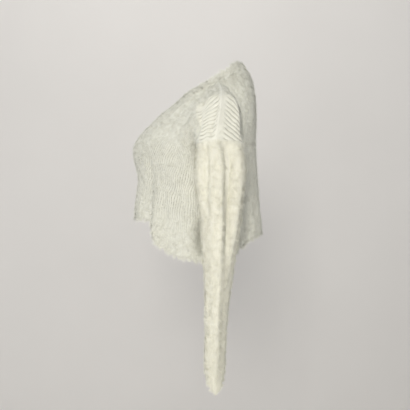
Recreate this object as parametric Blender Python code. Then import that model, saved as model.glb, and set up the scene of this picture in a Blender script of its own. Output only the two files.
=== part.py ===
"""A cropped rib-knit sweater with a brushed pile, in its worn, hollow shape.

Metres, +Z up. The front faces -Y and the wearer's left is +X. The origin is the point on the
centre plane, between the neck ends of the shoulder seams, where a figure's shoulders carry it.

Each piece is a wall with an outer face that carries the raised ribs and the folds, and a plain
inner face. A body panel runs in columns, one rib each, from the hem up to the neckline or the
shoulder seam. Above the underarm its last column bends round the arm as the armhole seam.
"""

import math

import bmesh
import bpy
import numpy as np

MM = 0.001
WALL = 5.0 * MM  # knit with its pile
RIB_RELIEF = 1.8 * MM  # ridge to groove
SEAM_GAP = 0.3 * MM
RIBS_ACROSS_PANEL = 60
NECK_RIBS = 18  # ribs of a half panel that end in the neckline; the rest end in the shoulder seam
RIBS_ROUND_SLEEVE = 36
PANEL_FINE_TO_PLAIN = 4  # outer columns for each inner column
SLEEVE_FINE_TO_PLAIN = 3
BODY_BANDS = 7  # rows of faces from hem to underarm
YOKE_ROWS = (0.12, 0.25, 0.37, 0.48, 0.57, 0.65, 0.74, 0.86, 1.0)  # and on to the top, as shares
SLEEVE_BANDS = 12
BAND_COLUMNS = 48
CREAM = (0.80, 0.79, 0.73, 1.0)
SHADED_CREAM = (0.76, 0.75, 0.68, 1.0)

UNDERARM_LEVEL = -158.0 * MM
SIDE_SEAM_Y = -14.0 * MM
SECTION_ROUNDNESS = 2.35  # 2 is an ellipse, more is squarer
ROW_LENGTH = 200.0 * MM  # cloth from one whole row number to the next
FOLD_FADE = 0.8  # how a fold grows from its ends: less is sooner
UNDERARM_CLEARANCE = 2.2 * MM  # between sleeve and body, at the inner end of the armhole
ARMHOLE_BLEND = 60.0 * MM  # length of sleeve that turns from the armhole's shape to its own
ARMHOLE_FLARE = 0.4  # how far the sleeve goes on outwards as it leaves the shoulder
BEND_ROWS = 0.14  # how far the bend at the underarm level is rounded, up and down


def table(names, *rows):
    """A small table: an array for each named column."""
    return {name: np.array(column, float) for name, column in zip(names.split(), zip(*rows))}


def smooth(at, stations, values):
    """A smooth curve through values at rising stations."""
    values = np.asarray(values, float)
    stations = np.asarray(stations, float)
    slopes = np.gradient(values, stations, axis=0)
    at = np.clip(at, stations[0], stations[-1])
    i = np.clip(np.searchsorted(stations, at, side="right") - 1, 0, len(stations) - 2)
    step = stations[i + 1] - stations[i]
    f = (at - stations[i]) / step
    start = (1 + 2 * f) * (1 - f) ** 2 * values[i] + f * (1 - f) ** 2 * step * slopes[i]
    end = f * f * (3 - 2 * f) * values[i + 1] + f * f * (f - 1) * step * slopes[i + 1]
    return start + end


def ease(x):
    """0 below 0, 1 above 1 and a soft step between."""
    x = np.clip(x, 0.0, 1.0)
    return x * x * (3 - 2 * x)


def unit(vectors):
    return vectors / np.maximum(np.linalg.norm(vectors, axis=-1, keepdims=True), 1e-12)


def stack(x, y, z):
    return np.stack(np.broadcast_arrays(x, y, z), axis=-1)


# Horizontal sections of the body, in mm: half width, and the front and back on the centre plane.
BODY = table(
    "level half_width front back",
    (-400, 178, -199, 107),
    (-350, 178, -199, 104),
    (-311, 177, -197, 100),
    (-282, 176, -194, 97),
    (-258, 175, -191, 95),
    (-222, 172, -187, 93),
    (-190, 170, -194, 92),
    (-158, 169, -203, 90),
)

# The hem's height, in mm, from the centre of a panel (0) to its side seam (1).
HEM = table(
    "across front back",
    (0.00, -305, -339),
    (0.30, -307, -341),
    (0.44, -313, -346),
    (0.53, -344, -352),
    (0.66, -379, -362),
    (0.80, -392, -375),
    (1.00, -398, -398),
)

# The shoulder seam, in mm, from the neck (0) over the shoulder's tip to the armhole (1).
SHOULDER = table(
    "along x y z",
    (0.00, 86, 1, 1),
    (0.25, 130, 5, -20),
    (0.47, 172, 6, -44),
    (0.62, 200, 4, -70),
    (0.80, 226, -1, -106),
    (1.00, 247, -6, -145),
)

# Rings of the neckband, in mm: the seam with the panels and the top edge. A ring's height is
# middle - tilt * cos(turn) + dip * cos(2 * turn), with turn 0 at the front.
NECK_RINGS = table(
    "half_width centre half_depth middle tilt dip",
    (86, -8.5, 79.0, 3.5, 35.0, 3.5),
    (78, -7.5, 69.0, 14.0, 36.8, 3.2),
    (70, -6.0, 60.0, 18.0, 37.0, 3.4),
)
NECK_SIDE_TURN = math.radians(97)

# How a column leaves the underarm level and how it reaches its top end, as tangents in mm,
# from the centre of the panel (0) to the armhole (1).
FRONT_RISE = table(
    "across start_x start_y start_z end_x end_y end_z",
    (0.00, 0, -5, 112, 0, 112, 112),
    (0.15, 0, -5, 112, 5, 112, 100),
    (0.30, 0, 0, 112, 0, 130, 80),
    (0.50, 0, 5, 112, 5, 150, 70),
    (0.70, 0, 0, 105, 10, 150, 85),
    (0.85, 12, -40, 80, 25, 155, 65),
    (1.00, 45, -160, 0, 35, 160, 12),
)
BACK_RISE = table(
    "across start_x start_y start_z end_x end_y end_z",
    (0.00, 0, 8, 180, 0, -95, 120),
    (0.15, 0, 8, 180, 5, -95, 110),
    (0.30, 0, 8, 170, 0, -130, 90),
    (0.50, 0, 8, 150, 5, -150, 70),
    (0.70, 0, 8, 110, 10, -160, 85),
    (0.85, 12, 60, 80, 25, -190, 65),
    (1.00, 45, 238, 0, 35, -247, 12),
)

# Folds of a panel, each a straight line in its flat layout. across is -1 and 1 at the side seams,
# + on the wearer's left. row is 0 at the hem, 1 at the underarm and 2 at the top. depth and width
# are in mm, and a depth below 0 is a trough.
FRONT_FOLDS = table(
    "low_across low_row high_across high_row depth width",
    (0.37, -0.6, 0.30, 0.95, 7.0, 36),
    (0.47, -0.6, 0.44, 0.55, -13.0, 19),
    (0.57, -0.6, 0.54, 0.62, 12.5, 17),
    (0.84, -0.6, 0.42, 1.05, -8.0, 17),
    (0.82, -0.5, 0.74, 0.85, 7.0, 40),
    (0.80, 0.43, 0.58, 0.68, -5.5, 11),
    (0.78, 0.78, 0.77, 1.72, 6.5, 11),
    (0.79, 1.12, 0.66, 1.62, -1.5, 14),
    (1.05, 1.50, 0.52, 1.80, -6.5, 13),
    (-0.34, -0.6, -0.27, 0.90, 7.0, 38),
    (-0.50, -0.6, -0.45, 0.70, -11.0, 22),
    (-0.64, -0.6, -0.58, 0.65, 7.0, 20),
    (-0.88, -0.6, -0.50, 1.05, -8.0, 17),
    (-0.80, 0.76, -0.77, 1.70, 6.0, 12),
    (-0.78, 1.10, -0.67, 1.60, -5.0, 12),
    (-1.05, 1.50, -0.55, 1.78, -6.0, 14),
)
BACK_FOLDS = table(
    "low_across low_row high_across high_row depth width",
    (0.08, -0.6, 0.03, 1.30, -4.0, 34),
    (0.36, -0.6, 0.30, 1.20, 6.0, 36),
    (0.62, -0.6, 0.58, 1.10, -6.0, 24),
    (-0.30, -0.6, -0.26, 1.25, 5.0, 34),
    (-0.54, -0.6, -0.50, 1.00, -7.0, 24),
    (-0.58, 0.90, -0.55, 1.70, 4.5, 13),
    (-1.05, 1.50, -0.62, 1.72, -5.0, 14),
)

# Sections of the left sleeve, in mm.
SLEEVE = table(
    "level x y half_x half_y",
    (-665, 210, -9.2, 21, 15),
    (-648, 210, -9.2, 23, 20),
    (-628, 210, -9.2, 25, 23),
    (-589, 211, -8.2, 26, 25),
    (-516, 213, -6.0, 29, 26),
    (-444, 216, -2.5, 32, 30),
    (-392, 219, -0.5, 34, 35),
    (-351, 221, 2.0, 36, 40),
    (-299, 222, 3.3, 38, 44.5),
    (-248, 221, 2.4, 40, 52),
    (-196, 218, 2.8, 41, 57),
    (-160, 215, 4.6, 41, 56.5),
    (-145, 214, 4.8, 40, 54.5),
)
CUFF_LEVEL = -633.0 * MM
CUFF_DROP = 26.0 * MM  # the cuff's outer and inner sides hang this much lower than its middle

# Folds of a sleeve. turn is 0 beside the body, 0.25 in front, 0.5 outside and 0.75 behind.
SLEEVE_FOLDS = table(
    "high_turn high_level low_turn low_level depth width",
    (0.535, -100, 0.560, -380, -9.0, 11),
    (0.600, -230, 0.630, -650, -9.0, 14),
    (0.417, -110, 0.330, -330, -4.0, 9),
    (0.470, -200, 0.500, -700, 3.0, 12),
    (0.020, -150, 0.055, -520, -7.0, 11),
    (0.180, -180, 0.150, -420, -4.0, 10),
    (0.720, -160, 0.690, -460, -4.5, 10),
)


def column(of, name, at, key):
    """A named column of a table of mm, read smoothly at the given stations, in metres."""
    order = np.argsort(of[key])
    return smooth(at, of[key][order], of[name][order]) * MM


def body_section(level, turn):
    """Points of the body's section at a level. turn is 0 at the centre front, pi at the back."""
    mm = level / MM
    half_width = column(BODY, "half_width", mm, "level")
    front = column(BODY, "front", mm, "level")
    back = column(BODY, "back", mm, "level")
    power = 2 / SECTION_ROUNDNESS
    sine, cosine = np.sin(turn), np.cos(turn)
    x = half_width * np.sign(sine) * np.abs(sine) ** power
    y = (front + back) / 2 - (back - front) / 2 * np.sign(cosine) * np.abs(cosine) ** power
    return stack(x, y, level)


def side_turn_table():
    """Turns from centre front to centre back, and the length round the section to each."""
    turns = np.linspace(0, math.pi, 721)
    points = body_section(np.full_like(turns, UNDERARM_LEVEL), turns)
    steps = np.linalg.norm(np.diff(points, axis=0), axis=1)
    lengths = np.concatenate([[0], np.cumsum(steps)])
    behind = (turns > 1.0) & (points[:, 1] > SIDE_SEAM_Y)
    return turns, lengths, lengths[np.argmax(behind)]


TURNS, LENGTHS, SEAM_LENGTH = side_turn_table()
HALF_PANEL = LENGTHS[-1] / 2


def panel_turn(across, front):
    """The turn round the section at a share of the half panel, from its centre to the seam."""
    if front:
        length = across * SEAM_LENGTH
    else:
        length = LENGTHS[-1] - across * (LENGTHS[-1] - SEAM_LENGTH)
    return np.interp(length, LENGTHS, TURNS)


def neck_ring(turn, ring):
    """Points of one of the neckband's rings; ring may lie between two of them."""
    size = {name: np.interp(ring, [0, 1, 2], NECK_RINGS[name]) * MM for name in NECK_RINGS}
    height = size["middle"] - size["tilt"] * np.cos(turn) + size["dip"] * np.cos(2 * turn)
    x = size["half_width"] * np.sin(turn)
    y = size["centre"] - size["half_depth"] * np.cos(turn)
    return stack(x, y, height)


def neck_wall_direction(turn):
    """The outward direction across the wall along the neckline seam."""
    around = neck_ring(turn + 0.01, 0) - neck_ring(turn - 0.01, 0)
    up_the_band = neck_ring(turn, 1) - neck_ring(turn, 0)
    steeper = unit(up_the_band) - unit(neck_outward(turn)) * 0.35
    return unit(np.cross(around, steeper))


def neck_outward(turn):
    return stack(np.sin(turn), -np.cos(turn), np.zeros_like(turn))


def shoulder_point(along):
    return stack(*(column(SHOULDER, name, along, "along") for name in "xyz"))


def shoulder_wall_direction(along):
    """Square to the shoulder seam, in its own upright plane."""
    run = shoulder_point(np.minimum(along + 0.02, 1)) - shoulder_point(np.maximum(along - 0.02, 0))
    level_out = 1 - ease((along - 0.75) / 0.25)
    return unit(stack(-run[..., 2], np.zeros_like(along), run[..., 0] * level_out))


def panel_top(across, front):
    """Where a column ends: in the neckline seam, or past it in the shoulder seam."""
    neck_share = NECK_RIBS / (RIBS_ACROSS_PANEL / 2)
    turn = np.clip(across / neck_share, 0, 1) * NECK_SIDE_TURN
    if not front:
        turn = math.pi - np.clip(across / neck_share, 0, 1) * (math.pi - NECK_SIDE_TURN)
    along = np.clip((across - neck_share) / (1 - neck_share), 0, 1)
    on_neck = (across <= neck_share)[..., None]
    point = np.where(on_neck, neck_ring(turn, 0), shoulder_point(along))
    wall = np.where(on_neck, neck_wall_direction(turn), shoulder_wall_direction(along))
    return point, wall


def fold_height(folds, across, row):
    """How far the folds lift a panel at each point of its flat layout."""
    total = np.zeros(np.broadcast(across, row).shape)
    for i in range(len(folds["depth"])):
        low = np.array([folds["low_across"][i] * HALF_PANEL, folds["low_row"][i] * ROW_LENGTH])
        high = np.array([folds["high_across"][i] * HALF_PANEL, folds["high_row"][i] * ROW_LENGTH])
        run = high - low
        x, y = across * HALF_PANEL - low[0], row * ROW_LENGTH - low[1]
        share = (x * run[0] + y * run[1]) / (run @ run)
        off = (x * run[1] - y * run[0]) / np.hypot(*run) / (folds["width"][i] * MM)
        fade = np.sin(math.pi * np.clip(share, 0, 1)) ** FOLD_FADE
        total += folds["depth"][i] * MM * np.exp(-off * off) * fade
    return total


def plain_panel(across, row, front):
    """The left half of a panel without folds: across 0 to 1, row 0 to 2."""
    hem = column(HEM, "front" if front else "back", across, "across")
    level = hem + (UNDERARM_LEVEL - hem) * np.minimum(row, 1)
    turn = panel_turn(across, front)
    lower = body_section(level, turn)
    rise = FRONT_RISE if front else BACK_RISE
    start = stack(*(column(rise, f"start_{name}", across, "across") for name in "xyz"))
    end = stack(*(column(rise, f"end_{name}", across, "across") for name in "xyz"))
    base = body_section(np.full_like(across, UNDERARM_LEVEL), turn)
    top, _ = panel_top(across, front)
    f = np.clip(row - 1, 0, 1)[..., None]
    upper = (
        (1 + 2 * f) * (1 - f) ** 2 * base
        + f * (1 - f) ** 2 * start
        + f * f * (3 - 2 * f) * top
        + f * f * (f - 1) * end
    )
    return np.where((row > 1)[..., None], upper, lower)


def rounded_panel(across, row, front):
    """The plain panel with its bend at the underarm level rounded, clear of the armhole."""
    sharp = plain_panel(across, row, front)
    above = plain_panel(across, np.minimum(row + BEND_ROWS, 2), front)
    below = plain_panel(across, np.maximum(row - BEND_ROWS, 0), front)
    share = np.exp(-(((row - 1) / 0.18) ** 2)) * ease((1 - across) / 0.12)
    return sharp + ((above + below) / 2 - sharp) * share[..., None]


def surface_normals(points):
    """Unit normals of a grid of points, from its neighbours."""
    along_rows = np.gradient(points, axis=1)
    along_columns = np.gradient(points, axis=0)
    return unit(np.cross(along_rows, along_columns))


def panel_surface(across, row, front):
    """A panel with its folds, and its outward directions, on a grid of rows and columns."""
    side = np.where(across < 0, -1.0, 1.0)
    mirror = stack(side, np.ones_like(side), np.ones_like(side))
    reach = np.abs(across)
    points = rounded_panel(reach, row, front) * mirror
    outward = surface_normals(points) * (1 if front else -1)
    folds = fold_height(FRONT_FOLDS if front else BACK_FOLDS, across, row)
    calm = ease((1 - reach) / 0.10) * ease((2 - row) / 0.25)
    points = points + outward * (folds * calm)[..., None]
    outward = surface_normals(points) * (1 if front else -1)
    _, at_top = panel_top(reach, front)
    seam = np.zeros_like(points)
    seam[..., 0] = side
    outward[..., 2] *= np.where(reach > 0.999, 1 - ease((row - 1) / 0.5), 1)
    outward = np.where((row > 1.999)[..., None], at_top * mirror, unit(outward))
    on_side = ((reach > 0.999) & (row <= 1))[..., None]
    return points, np.where(on_side, seam, outward)


def rib_wave(count):
    """Half the relief up on each rib and down in each groove."""
    wave = np.full(count, -RIB_RELIEF / 2)
    wave[1::2] = RIB_RELIEF / 2
    return wave


def rows_of_panel():
    lower = np.linspace(0, 1, BODY_BANDS + 1)
    return np.concatenate([lower, 1 + np.array(YOKE_ROWS)])


def panel_faces(front):
    """The outer and inner points of a panel, as grids."""
    across, row = np.meshgrid(np.linspace(-1, 1, 2 * RIBS_ACROSS_PANEL + 1), rows_of_panel())
    points, outward = panel_surface(across, row, front)
    points = points + seam_clearance(across, row, front)
    outer = points + outward * rib_wave(across.shape[1])[None, :, None]
    inner = (points - outward * WALL)[:, ::PANEL_FINE_TO_PLAIN]
    return outer, inner


def seam_clearance(across, row, front):
    """Half a seam's gap, away from the other panel at the sides and the shoulders."""
    forward = -1.0 if front else 1.0
    past_neck = np.abs(across) > NECK_RIBS / (RIBS_ACROSS_PANEL / 2) - 1e-6
    at_seam = ((row > 1.999) & past_neck) | ((np.abs(across) > 0.999) & (row <= 1))
    return stack(0.0, forward * SEAM_GAP * 0.6 * at_seam, 0.0)


def armhole(turn):
    """The armhole seam round the left arm: turn 0 and 1 underarm, 0.5 at the shoulder seam."""
    edges = []
    for front in (True, False):
        outer, _ = panel_faces(front)
        edges.append(outer[BODY_BANDS:, -1])
    loop = np.concatenate([edges[0], edges[1][::-1][1:]])
    stations = np.linspace(0, 1, len(loop))
    return stack(*(np.interp(turn, stations, loop[:, k]) for k in range(3)))


def sleeve_surface(turn, length):
    """The left sleeve with its folds: turn round it, length 0 at the armhole to 1 at the cuff."""
    ring = armhole(turn)
    angle = 2 * math.pi * turn
    cuff = CUFF_LEVEL - CUFF_DROP * np.cos(angle) ** 2
    level = ring[..., 2] + (cuff - ring[..., 2]) * length
    mm = level / MM
    x, y, half_x, half_y = (column(SLEEVE, name, mm, "level") for name in "x y half_x half_y".split())
    fold = np.zeros_like(level)
    for i in range(len(SLEEVE_FOLDS["depth"])):
        high, low = SLEEVE_FOLDS["high_level"][i], SLEEVE_FOLDS["low_level"][i]
        share = (mm - high) / (low - high)
        at = SLEEVE_FOLDS["high_turn"][i]
        path = at + share * (SLEEVE_FOLDS["low_turn"][i] - at)
        off = (turn - path + 0.5) % 1 - 0.5
        off = off * 2 * math.pi * half_y / (SLEEVE_FOLDS["width"][i] * MM)
        fade = np.where((share > 0) & (share < 1), np.sin(math.pi * np.clip(share, 0, 1)), 0)
        fold += SLEEVE_FOLDS["depth"][i] * MM * np.exp(-off * off) * fade**0.5
    own = stack(x - (half_x + fold) * np.cos(angle), y - (half_y + fold) * np.sin(angle), level)
    under = ring[..., 2] - level
    blend = ease(under / ARMHOLE_BLEND)[..., None]
    flare = ARMHOLE_FLARE * np.maximum(-np.cos(angle), 0)
    return ring + (own - ring) * blend + (1 - blend) * stack(flare * under, 0.0, -under)


def sleeve_rows():
    """Closer rows near the armhole, where the shape changes."""
    even = np.linspace(0, 1, SLEEVE_BANDS + 1)
    return even**1.25


def sleeve_faces():
    columns = 2 * RIBS_ROUND_SLEEVE
    turn, length = np.meshgrid(np.arange(columns) / columns, sleeve_rows())
    points = sleeve_surface(turn, length)
    around = np.roll(points, -1, axis=1) - np.roll(points, 1, axis=1)
    outward = unit(np.cross(np.gradient(points, axis=0), around))
    outward[0, :, 2] = 0
    outward = unit(outward)
    beside_body = np.exp(-(((turn + 0.5) % 1 - 0.5) / 0.16) ** 2)
    clear = UNDERARM_CLEARANCE * beside_body * ease(1 - length / 0.1)
    points = points + stack(clear, 0.0, 0.0)
    points[0, :, 2] -= 2 * SEAM_GAP
    outer = points + outward * rib_wave(columns)[None, :, None]
    inner = (points - outward * WALL)[:, ::SLEEVE_FINE_TO_PLAIN]
    return outer, inner


def neckband_faces():
    """The band's outer and inner rings, from its seam to a rounded top edge."""
    turn = np.linspace(0, 2 * math.pi, BAND_COLUMNS, endpoint=False)
    outer, inner = [], []
    for ring, thickness in ((0, 1.0), (1, 1.0), (2, 0.45)):
        points = neck_ring(turn, ring)
        if ring == 0:
            outward = neck_wall_direction(turn)
            points = points + unit(neck_ring(turn, 1) - points) * SEAM_GAP * 1.6
        else:
            around = neck_ring(turn + 0.01, ring) - neck_ring(turn - 0.01, ring)
            outward = unit(np.cross(around, neck_ring(turn, ring) - neck_ring(turn, ring - 1)))
        middle = points - outward * WALL / 2
        outer.append(middle + outward * WALL * thickness / 2)
        inner.append(middle - outward * WALL * thickness / 2)
    return np.array(outer), np.array(inner)


def zip_edge(fine, plain):
    """Triangles between a fine row of point numbers and a plain one with fewer."""
    faces = []
    ratio = (len(fine) - 1) // (len(plain) - 1)
    for i in range(len(plain) - 1):
        part = fine[i * ratio : (i + 1) * ratio + 1]
        half = (ratio + 1) // 2
        faces += [(plain[i], part[k], part[k + 1]) for k in range(half)]
        faces.append((plain[i], part[half], plain[i + 1]))
        faces += [(plain[i + 1], part[k], part[k + 1]) for k in range(half, ratio)]
    return faces


def wall_mesh(name, outer, inner, closed):
    """A closed wall between two grids. closed grids run all the way round."""
    rows, columns = outer.shape[:2]
    plain_columns = inner.shape[1]
    first = np.arange(rows * columns).reshape(rows, columns)
    second = rows * columns + np.arange(rows * plain_columns).reshape(rows, plain_columns)
    if closed:
        first = np.hstack([first, first[:, :1]])
        second = np.hstack([second, second[:, :1]])
    faces = []
    for grid in (first, second):
        for a, b in zip(grid, grid[1:]):
            faces += list(zip(a[:-1], a[1:], b[1:], b[:-1]))
    for row in (0, -1):
        faces += zip_edge(first[row], second[row])
    if not closed:
        for edge in (0, -1):
            a, b = first[:, edge], second[:, edge]
            faces += list(zip(a[:-1], a[1:], b[1:], b[:-1]))
    points = np.concatenate([outer.reshape(-1, 3), inner.reshape(-1, 3)])
    mesh = bpy.data.meshes.new(name)
    mesh.from_pydata(points.tolist(), [], [tuple(int(i) for i in face) for face in faces])
    shape = bmesh.new()
    shape.from_mesh(mesh)
    bmesh.ops.triangulate(shape, faces=shape.faces, quad_method="SHORT_EDGE")
    bmesh.ops.recalc_face_normals(shape, faces=shape.faces)
    shape.to_mesh(mesh)
    shape.free()
    mesh.shade_smooth()
    return mesh


def knit_material(name, colour):
    material = bpy.data.materials.new(name)
    material.use_nodes = True
    shader = material.node_tree.nodes["Principled BSDF"]
    shader.inputs["Base Color"].default_value = colour
    shader.inputs["Roughness"].default_value = 0.95
    shader.inputs["Metallic"].default_value = 0.0
    return material


def add_piece(collection, name, mesh, colour):
    piece = bpy.data.objects.new(name, mesh)
    collection.objects.link(piece)
    mesh.materials.append(knit_material(f"{name}_knit", colour))


def main():
    for old in list(bpy.data.objects):
        bpy.data.objects.remove(old, do_unlink=True)
    sweater = bpy.data.collections.new("cropped_knit_sweater")
    bpy.context.scene.collection.children.link(sweater)
    add_piece(sweater, "front", wall_mesh("front", *panel_faces(True), False), CREAM)
    add_piece(sweater, "back", wall_mesh("back", *panel_faces(False), False), SHADED_CREAM)
    outer, inner = sleeve_faces()
    for name, side in (("sleeve_left", 1), ("sleeve_right", -1)):
        mirror = np.array([side, 1, 1])
        add_piece(sweater, name, wall_mesh(name, outer * mirror, inner * mirror, True), CREAM)
    add_piece(sweater, "neckband", wall_mesh("neckband", *neckband_faces(), True), CREAM)


main()
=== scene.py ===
"""The looks of the cropped rib-knit sweater: knit shells, their brushed pile and the studio."""

import math

import bpy
import numpy as np
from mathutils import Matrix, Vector


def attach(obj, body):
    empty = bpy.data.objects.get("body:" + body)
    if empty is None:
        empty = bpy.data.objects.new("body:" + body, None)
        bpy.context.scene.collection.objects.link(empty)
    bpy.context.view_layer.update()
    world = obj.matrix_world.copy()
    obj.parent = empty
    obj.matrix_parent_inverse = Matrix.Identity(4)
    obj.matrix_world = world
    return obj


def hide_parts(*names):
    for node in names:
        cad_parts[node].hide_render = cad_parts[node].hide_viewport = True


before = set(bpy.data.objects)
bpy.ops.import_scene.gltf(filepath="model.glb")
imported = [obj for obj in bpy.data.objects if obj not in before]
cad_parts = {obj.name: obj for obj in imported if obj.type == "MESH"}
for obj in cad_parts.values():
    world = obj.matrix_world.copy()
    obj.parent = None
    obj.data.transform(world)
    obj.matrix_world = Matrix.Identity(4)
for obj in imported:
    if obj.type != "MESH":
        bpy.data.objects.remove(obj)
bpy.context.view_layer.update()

MM = 0.001
SHELL = 2.5 * MM  # thickness of a knit shell
PILE_DEPTH = 2.2 * MM  # the shell's outer face lies this far under the pile's usual surface
SEAM_GAP = 0.1 * MM  # between two shells

UNDERARM_LEVEL = -158.0 * MM
SIDE_SEAM_Y = -14.0 * MM
SECTION_ROUNDNESS = 2.35  # 2 is an ellipse, more is squarer
ROW_LENGTH = 200.0 * MM  # cloth from one whole row number to the next
FOLD_FADE = 0.8  # how a fold grows from its ends: less is sooner
UNDERARM_CLEARANCE = 2.2 * MM  # how far the sleeve's top is moved off the body
ARMHOLE_BLEND = 60.0 * MM  # the drop over which the armhole's ring turns into the sleeve's section
ARMHOLE_FLARE = 0.4  # how far the sleeve goes on outwards as it leaves the shoulder
NECK_SHARE = 0.6  # of a half panel's width, which ends in the neckline

RIBS_TO_NECK = 22  # of a half panel
RIBS_TO_SHOULDER = 34
RIBS_ROUND_SLEEVE = 48
RIB_HEIGHT = 1.5 * MM  # ridge to groove
RIB_WANDER = 0.42  # how far a panel's ribs stray sideways, in ribs
RIB_LEAN = 0.10  # of a half panel, towards the sleeve
RIB_DROP_ROWS = 0.55  # how far under the shoulder seam the ribs slant
HEM_RIBS = 0.15  # the share of the ribs that is left at the hem
CHEST_CALM = 0.85  # the share that the chest loses
NECK_CALM = 0.9  # the share that the top loses
BACK_RIBS = 0.7  # the back's ribs against the front's
SLEEVE_RIBS = 0.14  # the sleeve's ribs against the front's
RIBS_TO_PLEAT = 2.85
PLEAT_HEIGHT = 2.4 * MM  # of the cap's pleats, ridge to groove
STITCH = 5.0 * MM  # along a rib

# The pile: lengths and widths in mm, each the least and what the most has more.
HAIR_LENGTH = (4.5, 7.0)
HAIR_WIDTH = (0.32, 0.30)
HAIRS = {"front": 58000, "back": 44000, "sleeve": 35000, "neckband": 12000}
CLUMP = 14 * MM  # the distance over which hairs clump
EDGE_CLUMP = 9 * MM
TONE_PATCH = 22 * MM  # the distance over which their tone changes
END_PILE = 0.6  # how much thicker it is at the hem and the top of a panel
CAP_BARE = 0.8  # the share of it that the cap lacks

UNEVEN = {"panel": 0.7, "sleeve": 0.6, "band": 0.5}  # mm, of each surface
SLEEVE_CLOTH = (0.25, 0.22)  # metres round and along a sleeve, as its unevenness takes them

PANEL_COLUMNS = 448
PANEL_ROWS = (54, 64)  # below and above the underarm
SLEEVE_COLUMNS = 168
SLEEVE_ROWS = 150
BAND_COLUMNS = 192
BAND_ROWS = 16
PLAIN_EVERY = 8  # outer columns for each inner one
BEND_STEPS = 100  # smoothing of the bend at the underarm level


def table(names, *rows):
    """A small table: an array for each named column."""
    return {name: np.array(column, float) for name, column in zip(names.split(), zip(*rows))}


def smooth(at, stations, values):
    """A smooth curve through values at rising stations."""
    values = np.asarray(values, float)
    stations = np.asarray(stations, float)
    slopes = np.gradient(values, stations, axis=0)
    at = np.clip(at, stations[0], stations[-1])
    i = np.clip(np.searchsorted(stations, at, side="right") - 1, 0, len(stations) - 2)
    step = stations[i + 1] - stations[i]
    f = (at - stations[i]) / step
    start = (1 + 2 * f) * (1 - f) ** 2 * values[i] + f * (1 - f) ** 2 * step * slopes[i]
    end = f * f * (3 - 2 * f) * values[i + 1] + f * f * (f - 1) * step * slopes[i + 1]
    return start + end


def ease(x):
    """0 below 0, 1 above 1 and a soft step between."""
    x = np.clip(x, 0.0, 1.0)
    return x * x * (3 - 2 * x)


def unit(vectors):
    """Vectors at a length of 1."""
    return vectors / np.maximum(np.linalg.norm(vectors, axis=-1, keepdims=True), 1e-12)


def stack(x, y, z):
    """Points from their coordinates."""
    return np.stack(np.broadcast_arrays(x, y, z), axis=-1)


# ---------------- the garment's form, as in the CAD

# Horizontal sections of the body, in mm: half width, and the front and back on the centre plane.
BODY = table(
    "level half_width front back",
    (-400, 178, -199, 107),
    (-350, 178, -199, 104),
    (-311, 177, -197, 100),
    (-282, 176, -194, 97),
    (-258, 175, -191, 95),
    (-222, 172, -187, 93),
    (-190, 170, -194, 92),
    (-158, 169, -203, 90),
)

# The hem's height, in mm, from the centre of a panel (0) to its side seam (1).
HEM = table(
    "across front back",
    (0.00, -305, -339),
    (0.30, -307, -341),
    (0.44, -313, -346),
    (0.53, -344, -352),
    (0.66, -379, -362),
    (0.80, -392, -375),
    (1.00, -398, -398),
)

# The shoulder seam, in mm, from the neck (0) over the shoulder's tip to the armhole (1).
SHOULDER = table(
    "along x y z",
    (0.00, 86, 1, 1),
    (0.25, 130, 5, -20),
    (0.47, 172, 6, -44),
    (0.62, 200, 4, -70),
    (0.80, 226, -1, -106),
    (1.00, 247, -6, -145),
)

# Rings of the neckband, in mm: the seam with the panels, the band's middle and its top edge. A
# ring's height is middle - tilt * cos(turn) + dip * cos(2 * turn), with turn 0 at the front.
NECK_RINGS = table(
    "half_width centre half_depth middle tilt dip",
    (86, -8.5, 79.0, 3.5, 35.0, 3.5),
    (78, -7.5, 69.0, 14.0, 36.8, 3.2),
    (70, -6.0, 60.0, 18.0, 37.0, 3.4),
)
NECK_SIDE_TURN = math.radians(97)

# How a column leaves the underarm level and how it reaches its top end, as tangents in mm,
# from the centre of the panel (0) to the armhole (1).
FRONT_RISE = table(
    "across start_x start_y start_z end_x end_y end_z",
    (0.00, 0, -5, 112, 0, 112, 112),
    (0.15, 0, -5, 112, 5, 112, 100),
    (0.30, 0, 0, 112, 0, 130, 80),
    (0.50, 0, 5, 112, 5, 150, 70),
    (0.70, 0, 0, 105, 10, 150, 85),
    (0.85, 12, -40, 80, 25, 155, 65),
    (1.00, 45, -160, 0, 35, 160, 12),
)
BACK_RISE = table(
    "across start_x start_y start_z end_x end_y end_z",
    (0.00, 0, 8, 180, 0, -95, 120),
    (0.15, 0, 8, 180, 5, -95, 110),
    (0.30, 0, 8, 170, 0, -130, 90),
    (0.50, 0, 8, 150, 5, -150, 70),
    (0.70, 0, 8, 110, 10, -160, 85),
    (0.85, 12, 60, 80, 25, -190, 65),
    (1.00, 45, 238, 0, 35, -247, 12),
)

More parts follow.
